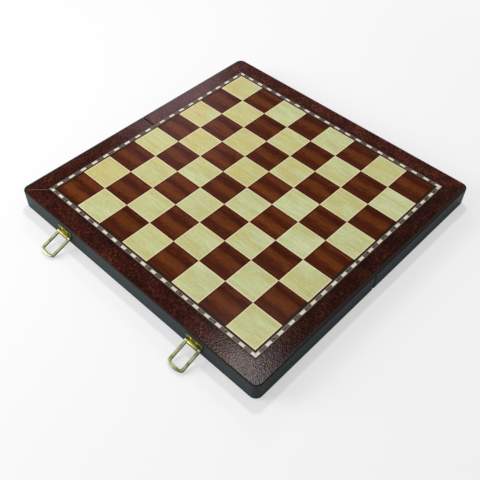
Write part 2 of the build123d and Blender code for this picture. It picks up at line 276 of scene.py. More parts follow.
lightSquareLook = {
    "tones": [
        (0.26, srgb(193, 184, 121)), (0.40, srgb(191, 188, 128)), (0.52, srgb(189, 191, 137)),
        (0.66, srgb(189, 196, 146)), (0.80, srgb(196, 201, 157)),
    ],
    "shuffle": (5.0, 2.0),
    "spread": 0.18,  # of the tone from square to square
    "drift": 0.10,  # of the tone from the middle to the right
    "cloud": {"size": (38 * mm, 15 * mm, 10 * mm), "detail": 2.0, "distortion": 0.4},
    "wave": {"size": (30 * mm, 1.9 * mm, 2 * mm), "distortion": 0.7},
    "fleck": {"size": (3.4 * mm, 1.3 * mm, 1 * mm), "roughness": 0.7},
    "baseShade": 0.31,
    "cloudShade": 0.18,
    "waveShade": 0.52,
    "fleckShade": 0.74,
    "blueShare": 0.99,
    "edge": srgb(240, 217, 182),
    "edgeWidth": 2.0 * mm,
    "edgeShare": 0.9,
    "relief": (0.01 * mm, 0.3),
    "shine": 0.04,
    "roughness": 0.22,
    "roughSpread": 0.08,
}


# Light veneer: clouds from straw to pale green, greener to the right, with wavy growth lines along the
# fold and short faint flecks
def lightSquares(look):
    tree = newTree("lightSquares")
    _, chance, side, shuffled = inSquare(tree, look["shuffle"])
    x = tree.split(tree.place())[0]
    cloud = tree.noise(shuffled, **look["cloud"])
    wave = tree.noise(shuffled, **look["wave"])
    fleck = tree.noise(shuffled, **look["fleck"])
    level = cloud + sway(chance, look["spread"]) + x * (look["drift"] / board["fieldX"])
    shade = look["baseShade"] + cloud * look["cloudShade"]
    shade = shade + wave * look["waveShade"] + fleck * look["fleckShade"]
    colour = tree.shaded(tree.ramp(level, look["tones"]), shade, shade * look["blueShare"])
    nearEdge = tree.rise(side, look["edgeWidth"], 0.0) * look["edgeShare"]
    colour = tree.blend(nearEdge, colour, look["edge"])
    rough = look["roughness"] + fleck * look["roughSpread"]
    return tree.surface(colour, rough, fleck, look["relief"], Specular_IOR_Level=look["shine"])


# Distance in from the board's outer edge: the corner radius less the distance out from the rectangle
# that is that radius smaller on each side
def fromEdge(tree, x, y):
    radius = board["cornerRadius"]
    outX = abs(x) - (board["halfWidth"] - radius)
    outY = abs(y) - (board["halfDepth"] - radius)
    pastX, pastY = tree.most(outX, 0.0), tree.most(outY, 0.0)
    outside = tree.math("SQRT", pastX * pastX + pastY * pastY)
    return radius - (outside + tree.least(tree.most(outX, outY), 0.0))


borderLook = {
    "tones": [
        (0.36, srgb(22, 4, 2)), (0.44, srgb(36, 8, 4)), (0.50, srgb(50, 15, 8)), (0.56, srgb(72, 30, 19)),
        (0.64, srgb(112, 62, 44)),
    ],
    "fleckLong": 3.8 * mm,
    "fleckWide": 1.5 * mm,
    "fleckDeep": 1 * mm,
    "fleck": {"detail": 5.0, "roughness": 0.68, "distortion": 0.5},
    "cloud": {"size": (22 * mm, 22 * mm, 22 * mm), "detail": 2.0},
    "cloudShare": 0.22,
    # Each line fades in between two distances: from the edge, the mitre and the fold
    "inner": (17.2 * mm, 22.2 * mm),
    "arris": (1.6 * mm, 0.96 * mm),
    "mitre": (0.6 * mm, 0.2 * mm),
    "seam": (1.1 * mm, 0.44 * mm),
    "innerShade": 0.4,
    "arrisColour": srgb(38, 36, 34),
    "glueColour": srgb(128, 98, 78),
    "jointColour": srgb(20, 9, 6),
    "ripple": {"size": (1.5 * mm, 1.5 * mm, 1.5 * mm), "detail": 1.0},
    "relief": (0.12 * mm, 0.7),
    "shine": 0.035,
    "roughness": 0.10,
    "roughSpread": 0.12,
    "seamRough": 0.7,
}


# Border veneer: lacy flecks that lie square to the edge over slow clouds, darker beside the inlay. A
# mitre is where both edges are equally far; its glue shows pale at the front left corner. The ends
# beside the fold are dark and dull, and the lacquer of the sides laps over the outer arris.
def borderVeneer(name, fleckAlongX, look, paintedLightLevel):
    tree = newTree(name)
    x, y = tree.split(tree.place())[:2]
    sizes = (look["fleckLong"], look["fleckWide"]) if fleckAlongX else (look["fleckWide"], look["fleckLong"])
    fleck = tree.noise(tree.place(), (*sizes, look["fleckDeep"]), **look["fleck"])
    cloud = tree.noise(tree.place(), **look["cloud"])
    ripple = tree.noise(tree.place(), **look["ripple"])
    edge = fromEdge(tree, x, y)
    offMitre = abs(abs(x) - abs(y) - (board["halfWidth"] - board["halfDepth"]))
    frontLeft = tree.math("LESS_THAN", x, 0.0) * tree.math("LESS_THAN", y, 0.0)
    joint = tree.blend(frontLeft, look["jointColour"], look["glueColour"])
    seam = tree.rise(abs(y), *look["seam"])
    colour = tree.ramp(mixed(fleck, cloud, look["cloudShare"]), look["tones"])
    # painted light and shade: each border's colour is made lighter or darker for how light falls on that side
    colour = tree.shaded(colour, paintedLightLevel - tree.rise(edge, *look["inner"]) * look["innerShade"])
    colour = tree.blend(tree.rise(offMitre, *look["mitre"]), colour, joint)
    colour = tree.blend(seam, colour, look["jointColour"])
    colour = tree.blend(tree.rise(edge, *look["arris"]), colour, look["arrisColour"])
    rough = look["roughness"] + fleck * look["roughSpread"] + seam * look["seamRough"]
    return tree.surface(colour, rough, ripple, look["relief"], Specular_IOR_Level=look["shine"])


lacquerLook = {
    # From the table up to the top, as shares of the height: a painted reflection of the sky in the black
    # lacquer
    "levels": [
        (0.00, srgb(36, 46, 51)), (0.20, srgb(42, 54, 58)), (0.48, srgb(43, 55, 58)),
        (0.70, srgb(47, 53, 54)), (0.86, srgb(50, 49, 47)), (1.00, srgb(40, 38, 36)),
    ],
    "wander": 0.25,
    "streak": {"size": (60 * mm, 60 * mm, 1.1 * mm), "detail": 2.0},
    "grain": {"size": (7 * mm, 7 * mm, 0.5 * mm)},
    "baseShade": 0.66,
    "streakShade": 0.42,
    "grainShade": 0.26,
    "relief": (0.02 * mm, 0.3),
    "shine": 0.06,
    "roughness": 0.34,
    "roughSpread": 0.1,
}


# Black lacquer over wood, its blue-grey a painted reflection of the sky: bluer low down and browner at the
# top, with long faint streaks of the grain
def blackLacquer(look):
    tree = newTree("blackLacquer")
    height = tree.split(tree.place())[2] / board["top"]
    streak = tree.noise(tree.place(), **look["streak"])
    grain = tree.noise(tree.place(), **look["grain"])
    shade = look["baseShade"] + streak * look["streakShade"] + grain * look["grainShade"]
    # painted reflection: the lacquer's colour by height stands in for the sky it mirrors
    colour = tree.shaded(tree.ramp(height + sway(streak, look["wander"]), look["levels"]), shade)
    rough = look["roughness"] + grain * look["roughSpread"]
    return tree.surface(colour, rough, grain, look["relief"], Specular_IOR_Level=look["shine"])


stringingLook = {
    "fleck": {"size": (1.1 * mm, 1.1 * mm, 1.1 * mm), "detail": 4.0, "roughness": 0.65},
    "cloud": {"size": (9 * mm, 9 * mm, 9 * mm), "detail": 1.0},
    "cloudShare": 0.25,
    "toneRise": (0.36, 0.64),
    "relief": (0.01 * mm, 0.3),
    "shine": 0.05,
    "roughness": 0.4,
    # Dark and light tone of each wood
    "blackLine": (srgb(20, 14, 8), srgb(38, 30, 18)),
    "creamLine": (srgb(96, 85, 72), srgb(152, 139, 123)),
    "hollyBlock": (srgb(196, 188, 168), srgb(230, 224, 210)),
}


# Thin wood of one tone: flecks and slow clouds between its dark and its light tone
def stringing(name, look):
    tree = newTree(name)
    fleck = tree.noise(tree.place(), **look["fleck"])
    cloud = tree.noise(tree.place(), **look["cloud"])
    share = tree.rise(mixed(fleck, cloud, look["cloudShare"]), *look["toneRise"])
    colour = tree.blend(share, *look[name])
    return tree.surface(colour, look["roughness"], fleck, look["relief"], Specular_IOR_Level=look["shine"])


rosewoodLook = {
    "low": srgb(62, 52, 45),
    "high": srgb(118, 104, 94),
    "eye": srgb(26, 20, 16),
    "eyePitch": 2.6 * mm,
    "eyeRise": (0.45, 0.27),
    "eyeDepth": 0.8,
    "fleck": {"size": (1.2 * mm, 1.2 * mm, 1.2 * mm), "detail": 4.0},
    "fleckRise": (0.35, 0.65),
    "relief": (0.01 * mm, 0.3),
    "shine": 0.05,
    "roughness": 0.3,
}


# Dark inlay blocks: greyish rosewood with small darker eyes, each round the middle of a random cell
def eyedRosewood(look):
    tree = newTree("eyedRosewood")
    sockets = {"Vector": tree.place(), "Scale": 1 / look["eyePitch"]}
    cells = tree.node("TexVoronoi", {"feature": "F1"}, sockets)
    eye = tree.rise(cells, *look["eyeRise"]) * look["eyeDepth"]
    fleck = tree.noise(tree.place(), **look["fleck"])
    colour = tree.blend(tree.rise(fleck, *look["fleckRise"]), look["low"], look["high"])
    colour = tree.blend(eye, colour, look["eye"])
    return tree.surface(colour, look["roughness"], fleck, look["relief"], Specular_IOR_Level=look["shine"])


plywoodLook = {
    "lightPly": srgb(184, 148, 104),
    "darkPly": srgb(142, 106, 70),
    "plyPair": 2.5 * mm,  # a light and a dark ply together
    "plyRise": (-0.2, 0.2),
    "streak": {"size": (60 * mm, 1.6 * mm, 1 * mm)},
    "baseShade": 0.8,
    "streakShade": 0.4,
    "relief": (0.05 * mm, 0.4),
    "shine": 0.2,
    "roughness": 0.7,
}


# Plywood: plies one over another, told apart by the sine of the height, with streaks on the faces
def plywood(look):
    tree = newTree("plywood")
    height = tree.split(tree.place())[2]
    ply = tree.rise(tree.math("SINE", height * (math.tau / look["plyPair"])), *look["plyRise"])
    streak = tree.noise(tree.place(), **look["streak"])
    colour = tree.blend(ply, look["lightPly"], look["darkPly"])
    colour = tree.shaded(colour, look["baseShade"] + streak * look["streakShade"])
    return tree.surface(colour, look["roughness"], streak, look["relief"], Specular_IOR_Level=look["shine"])


feltLook = {
    "low": srgb(14, 62, 40),
    "high": srgb(42, 104, 72),
    "fibre": {"size": (0.5 * mm, 0.7 * mm, 0.5 * mm), "detail": 5.0, "roughness": 0.75, "distortion": 1.2},
    "cloud": {"size": (14 * mm, 11 * mm, 10 * mm)},
    "cloudShare": 0.3,
    "toneRise": (0.34, 0.68),
    "relief": (0.3 * mm, 0.8),
    "shine": 0.1,
    "sheen": 0.35,
    "sheenRoughness": 0.5,
    "roughness": 0.95,
}


# Felt: matted fibres over slow clouds, paler where they stand up, with a soft sheen
def felt(look):
    tree = newTree("greenFelt")
    fibre = tree.noise(tree.place(), **look["fibre"])
    cloud = tree.noise(tree.place(), **look["cloud"])
    share = tree.rise(mixed(fibre, cloud, look["cloudShare"]), *look["toneRise"])
    colour = tree.blend(share, look["low"], look["high"])
    fixed = {"Specular_IOR_Level": look["shine"], "Sheen_Weight": look["sheen"]}
    fixed["Sheen_Roughness"] = look["sheenRoughness"]
    return tree.surface(colour, look["roughness"], fibre, look["relief"], **fixed)


metalLook = {
    "scratch": {"size": (9 * mm, 0.16 * mm, 0.16 * mm), "roughness": 0.6},
    "cloud": {"size": (9 * mm, 7 * mm, 7 * mm), "detail": 2.0},
    "scratchShare": 0.15,
    "tarnishRise": (0.30, 0.60),
    "scratchRough": 0.12,
    "cloudRough": 0.08,
    "polishRise": (0.1, 0.8),
    "flankRough": 0.2,
    "relief": (0.01 * mm, 0.25),
    # Bright and tarnished colour, roughness, and the colour of flanks where the piece has them, which is
    # painted shade
    "paleBrass": (srgb(151, 154, 118), srgb(98, 102, 66), 0.24, srgb(44, 46, 20)),
    "yellowBrass": (srgb(152, 146, 82), srgb(98, 92, 36), 0.26, srgb(64, 61, 22)),
    "hingeBrass": (srgb(196, 186, 92), srgb(146, 134, 44), 0.3, None),
    "brightSteel": (srgb(176, 178, 180), srgb(120, 122, 124), 0.3, None),
}


# Brass or steel: fine rolling scratches and slow tarnish clouds over bare metal. Where the piece marks its
# faces apart from its flanks, its edges and flanks get painted shade and are rougher.
def metal(name, look):
    tree = newTree(name)
    bright, tarnish, roughness, paintedFlankShade = look[name]
    scratch = tree.noise(tree.place(), **look["scratch"])
    cloud = tree.noise(tree.place(), **look["cloud"])
    share = tree.rise(mixed(cloud, scratch, look["scratchShare"]), *look["tarnishRise"])
    colour = tree.blend(share, tarnish, bright)
    rough = roughness + scratch * look["scratchRough"] + cloud * look["cloudRough"]
    if paintedFlankShade:
        told = tree.node("Attribute", {"attribute_name": "polish"}, output="Fac")
        polish = tree.rise(told, *look["polishRise"])
        # painted shade: flanks and edges darkened to the flank colour, and made rougher
        colour = tree.blend(polish, paintedFlankShade, colour)
        rough = rough + (1 - polish) * look["flankRough"]
    return tree.surface(colour, rough, scratch, look["relief"], Metallic=1.0)


finishes = {
    "dark_squares": darkSquares(darkSquareLook),
    "light_squares": lightSquares(lightSquareLook),
    # painted light and shade: one border veneer, painted darkest on the right and lighter at the back and
    # left
    "front_outer_border": borderVeneer("frontBorder", False, borderLook, paintedLightLevel=0.92),
    "back_outer_border": borderVeneer("backBorder", False, borderLook, paintedLightLevel=1.25),
    "left_border": borderVeneer("leftBorder", True, borderLook, paintedLightLevel=1.05),
    "right_border": borderVeneer("rightBorder", True, borderLook, paintedLightLevel=0.6),
    "black_lines": stringing("blackLine", stringingLook),
    "cream_lines": stringing("creamLine", stringingLook),
    "light_inlay_blocks": stringing("hollyBlock", stringingLook),
    "dark_inlay_blocks": eyedRosewood(rosewoodLook),
    "rail": blackLacquer(lacquerLook),
    "panel": plywood(plywoodLook),
    "felt_lining": felt(feltLook),
    "latch_loop": metal("paleBrass", metalLook),
    "plate": metal("yellowBrass", metalLook),
    "brass": metal("hingeBrass", metalLook),
    "hinge_pin": metal("brightSteel", metalLook),
}


# A node's finish is the longest name above that is in its own name, and else the hinges' brass
def finishOf(nodeName):
    for key in sorted(finishes, key=len, reverse=True):
        if key in nodeName:
            return finishes[key]
    return finishes["brass"]


for nodeName, node in nodes.items():
    node.data.materials.clear()
    node.data.materials.append(finishOf(nodeName))
print("finishes given to the model's own pieces:", len(finishes))


# Quads between neighbouring rings of points. Each ring closes on itself, and the row of rings either
# closes too, or ends at each end in a fan of triangles to the middle of the ring there.
def shell(rings, closed=False, polish=1.0):
    count, around = rings.shape[:2]
    points = rings.reshape(-1, 3)
    # each point's share of face against flank, for polish and painted shade on metal
    shine = np.broadcast_to(polish, (count, around)).ravel()
    rows, columns = np.arange(count if closed else count - 1), np.arange(around)
    row, column = np.meshgrid(rows, columns, indexing="ij")
    nextRow, nextColumn = (row + 1) % count, (column + 1) % around
    near, far = row * around, nextRow * around
    quads = np.stack([near + column, near + nextColumn, far + nextColumn, far + column], -1).reshape(-1, 4)
    if closed:
        return points, [quads], shine
    points = np.vstack([points, rings[0].mean(0), rings[-1].mean(0)])
    shine = np.append(shine, [shine[0], shine[-1]])
    first, step, last = columns, (columns + 1) % around, (count - 1) * around
    firstHub = np.full(around, count * around)
    fans = [np.stack([step, first, firstHub], -1), np.stack([last + first, last + step, firstHub + 1], -1)]
    return points, [quads, *fans], shine


smoothBelow = math.radians(35)


# One object out of several shells, smooth except at edges that turn by more than the angle above
def piece(name, shells, finish, body, replaced):
    starts = np.cumsum([0] + [len(points) for points, _, _ in shells])
    faces = []
    for start, (_, parts, _) in zip(starts, shells):
        for part in parts:
            faces += (part + start).tolist()
    mesh = bpy.data.meshes.new(name)
    mesh.from_pydata(np.vstack([points for points, _, _ in shells]).tolist(), [], faces)
    # the mask of faces and flanks, which the metal finishes use for polish and painted shade
    polish = mesh.attributes.new("polish", "FLOAT", "POINT")
    polish.data.foreach_set("value", np.concatenate([shine for _, _, shine in shells]).astype(np.float32))
    mesh.shade_smooth()
    mesh.set_sharp_from_angle(angle=smoothBelow)
    mesh.materials.append(finish)
    made = bpy.data.objects.new(name, mesh)
    bpy.context.scene.collection.objects.link(made)
    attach(made, body)
    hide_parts(*replaced)


# Angles from 0 to a right angle
def quarterTurn(steps):
    return np.linspace(0, math.pi / 2, steps)


# Rounded rectangle in its own plane: four quarter circles of radius edge, set at the corners.
# halfWidth may be a column, one value for each ring.
def roundedRing(halfWidth, halfThickness, edge, steps=4):
    angle = np.concatenate([quarterTurn(steps) + quarter * math.pi / 2 for quarter in range(4)])
    signX = np.repeat([1, -1, -1, 1], steps)
    signZ = np.repeat([1, 1, -1, -1], steps)
    x = signX * (halfWidth - edge) + edge * np.cos(angle)
    z = signZ * (halfThickness - edge) + edge * np.sin(angle)
    return x, np.broadcast_to(z, x.shape)


# A strap: a rounded rectangle carried along a path, across and normal given at each point. Its mask is high
# on the faces and low on the flanks, by the fourth power of the height in the thickness, for painted shade on
# the flanks.
def strap(path, across, normal, halfWidth, halfThickness, edge):
    x, z = roundedRing(np.asarray(halfWidth).reshape(-1, 1), halfThickness, edge)
    rings = path[:, None] + across[:, None] * x[..., None] + normal[:, None] * z[..., None]
    return rings, (np.abs(z) / halfThickness) ** 4


# A round bar along X with softened ends: the radius falls by a quarter circle at each end
def roundBar(start, end, radius, edge, around=28, steps=5):
    sine, cosine = edge * np.sin(quarterTurn(steps)), edge * np.cos(quarterTurn(steps))
    x = np.concatenate([start + edge - cosine, end - edge + sine])
    radii = np.concatenate([radius - edge + sine, radius - edge + cosine])[:, None]
    angle = np.linspace(0, math.tau, around, endpoint=False)
    return np.stack([x[:, None] + 0 * angle, radii * np.cos(angle), radii * np.sin(angle)], -1)


# Turns points about X by an angle and moves them
def placed(rings, angle, offset):
    turn = np.array(Matrix.Rotation(angle, 3, "X"))
    return rings @ turn.T + np.array(offset)


loopSizes = {
    "halfGap": 7.35 * mm,  # from the middle to the inside of a leg
    "leg": 3.8 * mm,
    "thickness": 2.2 * mm,
    "reach": 30.2 * mm,  # from the pivot to the tip
    "inside": 26.1 * mm,  # from the pivot to the end of the opening
    "bulge": 2.8 * mm,  # rise of the tip's arc over its chord
    "innerCorner": 1.9 * mm,
    "outerCorner": 3.4 * mm,
    "eyeRadius": 2.1 * mm,
    "stubRadius": 1.5 * mm,
    "stubLength": 4.2 * mm,
    "stubRoot": 0.5 * mm,  # how far a stub goes into its eye
    "edge": 0.75 * mm,
    "softEnd": 0.3 * mm,
    "legSteps": 14,
    "cornerSteps": 9,
    "endSteps": 17,
}


# The loop's inner and outer outline, from one end of the pivot round to the other: straight legs, then
# a quarter circle and a straight end inside, or a corner that touches both the leg and the arc of the
# tip outside. The right-hand half is worked out and mirrored.
def loopOutlines(sizes):
    gap, wide = sizes["halfGap"], sizes["halfGap"] + sizes["leg"]
    leg, corner = np.linspace(0, 1, sizes["legSteps"]), np.linspace(0, 1, sizes["cornerSteps"])
    end = np.linspace(0, 1, sizes["endSteps"])[1:]
    inner, inside = sizes["innerCorner"], sizes["inside"]
    turn = corner * math.pi / 2
    innerX = np.concatenate([gap + 0 * leg, gap - inner + inner * np.cos(turn), (gap - inner) * (1 - end)])
    innerY = np.concatenate([leg * (inner - inside), inner - inside - inner * np.sin(turn), 0 * end - inside])
    outer, reach = sizes["outerCorner"], sizes["reach"]
    arc = (wide ** 2 + sizes["bulge"] ** 2) / (2 * sizes["bulge"])
    spread = math.asin((wide - outer) / (arc - outer))
    cornerY = arc - reach - (arc - outer) * math.cos(spread)
    turn = corner * (math.pi / 2 - spread)
    sweep = spread * (1 - end)
    outerX = np.concatenate([wide + 0 * leg, wide - outer + outer * np.cos(turn), arc * np.sin(sweep)])
    tipY = arc - reach - arc * np.cos(sweep)
    outerY = np.concatenate([leg * cornerY, cornerY - outer * np.sin(turn), tipY])
    halves = [np.stack([x, y, 0 * x], -1) for x, y in ((innerX, innerY), (outerX, outerY))]
    return [np.vstack([half, (half * [-1, 1, 1])[-2::-1]]) for half in halves]


# Latch loop: a strap between its two outlines, with an eye and a stub on each leg, sloping down so
# far that its tip lies on the table
def latchLoop(side, sizes):
    innerLine, outerLine = loopOutlines(sizes)
    span = outerLine - innerLine
    width = np.linalg.norm(span, axis=1)
    up = np.broadcast_to([0.0, 0.0, 1.0], span.shape)
    half = sizes["thickness"] / 2
    middle = (innerLine + outerLine) / 2
    body, polish = strap(middle, span / width[:, None], up, width / 2, half, sizes["edge"])
    gap, wide = sizes["halfGap"], sizes["halfGap"] + sizes["leg"]
    bars = []
    for sign in (-1, 1):
        eye = sorted((sign * gap, sign * wide))
        stub = sorted((sign * (gap + sizes["stubRoot"]), sign * (gap - sizes["stubLength"])))
        bars.append(roundBar(*eye, sizes["eyeRadius"], sizes["softEnd"]))
        bars.append(roundBar(*stub, sizes["stubRadius"], sizes["softEnd"]))
    pivot = joints[side + "_loop_swing"]["pos_m"]
    slope = math.asin(pivot[2] / math.hypot(sizes["reach"], half)) - math.atan2(half, sizes["reach"])
    shells = [shell(placed(body, slope, pivot), polish=polish)]
    shells += [shell(placed(bar, slope, pivot)) for bar in bars]
    name = side + "_latch_loop"
    piece(name + "_rounded", shells, finishes["latch_loop"], side + "_loop", [name])


for side in ("left", "right"):
    latchLoop(side, loopSizes)
print("latch loops made")

plateSizes = {
    "sheet": 1.0 * mm,
    "halfWidth": 12.0 * mm,
    "barrelHalf": 7.0 * mm,
    "shoulderRise": 2.8 * mm,  # height of the shoulder above the pivot
    "curlRise": 1.4 * mm,  # height of the flat part's last point above the pivot
    "corner": 1.5 * mm,
    "edge": 0.28 * mm,
    "curl": math.radians(322),  # how far the sheet goes round the pivot
    "cornerSteps": 8,
    "curlSteps": 60,
}


# Latch plate: a sheet carried down the rail's face and on round the pivot. Its half width follows
# quarter circles at the four corners of the plate and steps in to the barrel at the shoulder.
def latchPlate(side, sizes):
    name = side + "_latch_plate"
    pivot = np.array(joints[side + "_loop_swing"]["pos_m"])
    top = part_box(name)[1].z
    shoulder = pivot[2] + sizes["shoulderRise"]
    half = sizes["sheet"] / 2
    middleY = -board["halfDepth"] - half
    inset = sizes["corner"] * (1 - np.cos(quarterTurn(sizes["cornerSteps"])))
    rest = sizes["corner"] * (1 - np.sin(quarterTurn(sizes["cornerSteps"])))
    flatZ = np.concatenate([top - inset, shoulder + rest, [shoulder, pivot[2] + sizes["curlRise"]]])
    cornerHalf = np.concatenate([sizes["halfWidth"] - rest, sizes["halfWidth"] - inset])
    flat = np.stack([pivot[0] + 0 * flatZ, middleY + 0 * flatZ, flatZ], -1)
    angle = np.linspace(0, sizes["curl"], sizes["curlSteps"])
    inward = np.stack([0 * angle, np.cos(angle), -np.sin(angle)], -1)
    path = np.vstack([flat, pivot + inward * (middleY - pivot[1])])
    normal = np.vstack([np.broadcast_to([0.0, -1.0, 0.0], flat.shape), -inward])
    halfWidth = np.concatenate([cornerHalf, np.full(2 + len(angle), sizes["barrelHalf"])])
    across = np.broadcast_to([1.0, 0.0, 0.0], path.shape)
    rings, polish = strap(path, across, normal, halfWidth, half, sizes["edge"])
    piece(name + "_rolled", [shell(rings, polish=polish)], finishes["plate"], "front_half", [name])


for side in ("left", "right"):
    latchPlate(side, plateSizes)
print("latch plates rolled")

catchSizes = {
    "sheet": 1.0 * mm,
    "halfWidth": 9.0 * mm,
    "corner": 1.5 * mm,
    "windowHalf": 3.6 * mm,
    "windowTop": 1.6 * mm,
    "windowHeight": 4.4 * mm,
    "windowCorner": 0.4 * mm,
    "hookHalf": 3.5 * mm,
    "hookRoot": 0.4 * mm,  # how far the tongue goes down into the plate
    "hookBend": 1.6 * mm,
    "hookReach": 5.3 * mm,
    "edge": 0.28 * mm,
    "bendSteps": 12,
    "straightSteps": 9,
}


# Outline of a rectangle with round corners, from its low to its high corner, as x and z: a quarter
# circle at each corner and evenly spaced points on each side
def roundedOutline(low, high, radius, steps=7, side=5):
    right, left, top, bottom = high[0] - radius, low[0] + radius, high[1] - radius, low[1] + radius
    corners = []
    for quarter, centre in enumerate(((right, top), (left, top), (left, bottom), (right, bottom))):
        angle = quarterTurn(steps) + quarter * math.pi / 2
        corners.append(np.array(centre) + radius * np.stack([np.cos(angle), np.sin(angle)], -1))
    share = np.linspace(0, 1, side + 2)[1:-1, None]
    parts = []
    for corner, following in zip(corners, corners[1:] + corners[:1]):
        parts += [corner, corner[-1] * (1 - share) + following[0] * share]
    return np.vstack(parts)


# The plate with its window: a strap along the ring between the window and the outer outline
def catchRing(x, middleY, bottom, top, windowLow, windowHigh, sizes):
    outer = roundedOutline((x - sizes["halfWidth"], bottom), (x + sizes["halfWidth"], top), sizes["corner"])
    left, right = x - sizes["windowHalf"], x + sizes["windowHalf"]
    window = roundedOutline((left, windowLow), (right, windowHigh), sizes["windowCorner"])
    gap, middle = outer - window, (outer + window) / 2
    width = np.linalg.norm(gap, axis=1)
    path = np.stack([middle[:, 0], middleY + 0 * width, middle[:, 1]], -1)
    across = np.stack([gap[:, 0], 0 * width, gap[:, 1]], -1) / width[:, None]
    normal = np.broadcast_to([0.0, 1.0, 0.0], path.shape)
    rings, polish = strap(path, across, normal, width / 2, sizes["sheet"] / 2, sizes["edge"])
    return shell(rings[::-1], closed=True, polish=polish[::-1])


# The tongue struck out of the window: up from its root, out by a quarter circle and then straight. Its
# half width falls off in a quarter circle over the last stretch before the tip.
def catchHook(x, face, windowLow, sizes):
    half, corner = sizes["sheet"] / 2, sizes["corner"]
    radius = sizes["hookBend"] + half
    turn = quarterTurn(sizes["bendSteps"])
    bendY = face + half + radius - radius * np.cos(turn)
    bend = np.stack([x + 0 * turn, bendY, windowLow + radius * np.sin(turn)], -1)
    outward = np.linspace(radius + half, sizes["hookReach"], sizes["straightSteps"])[1:]
    straight = np.stack([x + 0 * outward, face + outward, windowLow + radius + 0 * outward], -1)
    path = np.vstack([[[x, face + half, windowLow - sizes["hookRoot"]]], bend, straight])
    bendNormal = np.stack([0 * turn, -np.cos(turn), np.sin(turn)], -1)
    upward = np.broadcast_to([0.0, 0.0, 1.0], straight.shape)
    normal = np.vstack([[[0.0, -1.0, 0.0]], bendNormal, upward])
    toTip = sizes["hookReach"] - (path[:, 1] - face)
    halfWidth = sizes["hookHalf"] - corner + np.sqrt(corner ** 2 - np.clip(corner - toTip, 0, corner) ** 2)
    across = np.broadcast_to([1.0, 0.0, 0.0], path.shape)
    rings, polish = strap(path, across, normal, halfWidth, half, sizes["edge"])
    return shell(rings[::-1], polish=polish[::-1])


# Catch plate: the ring round the window and the hook, on the face of the back rail
def catchPlate(side, sizes):
    name = side + "_catch_plate"
    low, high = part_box(name)
    x, face = (low.x + high.x) / 2, board["halfDepth"]
    windowHigh = high.z - sizes["windowTop"]
    windowLow = windowHigh - sizes["windowHeight"]
    ring = catchRing(x, face + sizes["sheet"] / 2, low.z, high.z, windowLow, windowHigh, sizes)
    hook = catchHook(x, face, windowLow, sizes)
    piece(name + "_struck", [ring, hook], finishes["plate"], "back_half", [name])


for side in ("left", "right"):
    catchPlate(side, catchSizes)
print("catch plates struck")

plateScrewSizes = {
    "headRadius": 1.6 * mm,
    "headRise": 0.9 * mm,
    "headSink": 0.0,
    "shankRadius": 0.8 * mm,
    "length": 5.5 * mm,
    "latchSpread": 4.2 * mm,  # either side of a latch plate's middle
    "catchSpread": 4.4 * mm,
}
hingeScrewSizes = {
    "headRadius": 1.8 * mm,
    "headRise": 0.0,
    "headSink": 0.9 * mm,
    "shankRadius": 0.9 * mm,
    "length": 8.0 * mm,
    "spacing": 18 * mm,
}
screwForm = {
    "slotWidth": 0.5 * mm,
    "slotDepth": 0.4 * mm,
    "threadPitch": 0.9 * mm,
    "threadDepth": 0.14 * mm,
    "domeCurve": 0.86,  # 1 would bring the dome down to the seat at the rim
    "coneShare": 0.5,  # part of the radius that a sunk head tapers over
    "underGap": 0.02 * mm,  # depth of the underside at the rim
    "leastSink": 0.05 * mm,  # depth of a head that isn't sunk
    "rimShare": 0.999,  # place of the outermost row on the radius
    "slotMargin": 1.6,  # nearest row beside the slot, in half slot widths
    "headRows": 10,
    "headColumns": 15,
    "shankRows": 90,
    "shankSides": 20,
    "pointShare": 1 / 6,  # part of the length that tapers to the point
    "tipShare": 0.12,  # part of the radius that is left at the tip
    "plainShare": 1 / 8,  # part of the length below the head without a thread
    "firstTurn": 0.6,  # of the first screw's slot, in radians
    "nextTurn": 1.7,  # more for each further screw
}


# A screw's head, its seat at 0: straight rows, so that the slot has straight walls, and each row is a
# ring over the dome and back under it, where a sunk head is a cone
def screwHead(kind, form):
    rim, sink, half = kind["headRadius"], kind["headSink"], form["slotWidth"] / 2
    bow = rim * form["rimShare"] * np.cos(quarterTurn(form["headRows"]))
    bow = bow[bow > half * form["slotMargin"]]
    rows = np.concatenate([-bow, [-half, -half, half, half], bow[::-1]])[:, None]
    inSlot = np.abs(rows) <= half
    inSlot[np.flatnonzero(inSlot)[[0, -1]]] = False
    across = np.linspace(-1, 1, form["headColumns"])
    x = np.concatenate([across, across[::-1]]) * np.sqrt(rim ** 2 - rows ** 2)
    radius = np.minimum(np.hypot(x, rows) / rim, 1.0)
    over = kind["headRise"] * np.sqrt(1 - form["domeCurve"] * radius ** 2) - inSlot * form["slotDepth"]
    under = -sink * (1 - radius) / form["coneShare"] - form["underGap"]
    under = np.maximum(under, -max(sink, form["leastSink"]))
    height = np.where(np.repeat([True, False], len(across)), over, under)
    return np.stack([x, rows + 0 * x, height], -1)


# A screw's shank, down from 0: the radius rises and falls as a saw tooth of height and angle, which is
# a thread, and shrinks evenly to the point
def screwShank(kind, form):
    down = np.linspace(0, 1, form["shankRows"])[:, None]
    angle = np.linspace(0, math.tau, form["shankSides"], endpoint=False)
    turns = down * kind["length"] / form["threadPitch"] - angle / math.tau
    tooth = np.abs(turns % 1.0 - 0.5) * 2
    taper = np.clip((1 - down) / form["pointShare"], form["tipShare"], 1.0)
    begun = np.clip(down / form["plainShare"] - 1, 0, 1)
    radius = (kind["shankRadius"] - form["threadDepth"] * tooth * begun) * taper
    return np.stack([radius * np.cos(angle), radius * np.sin(angle), -down * kind["length"] + 0 * angle], -1)


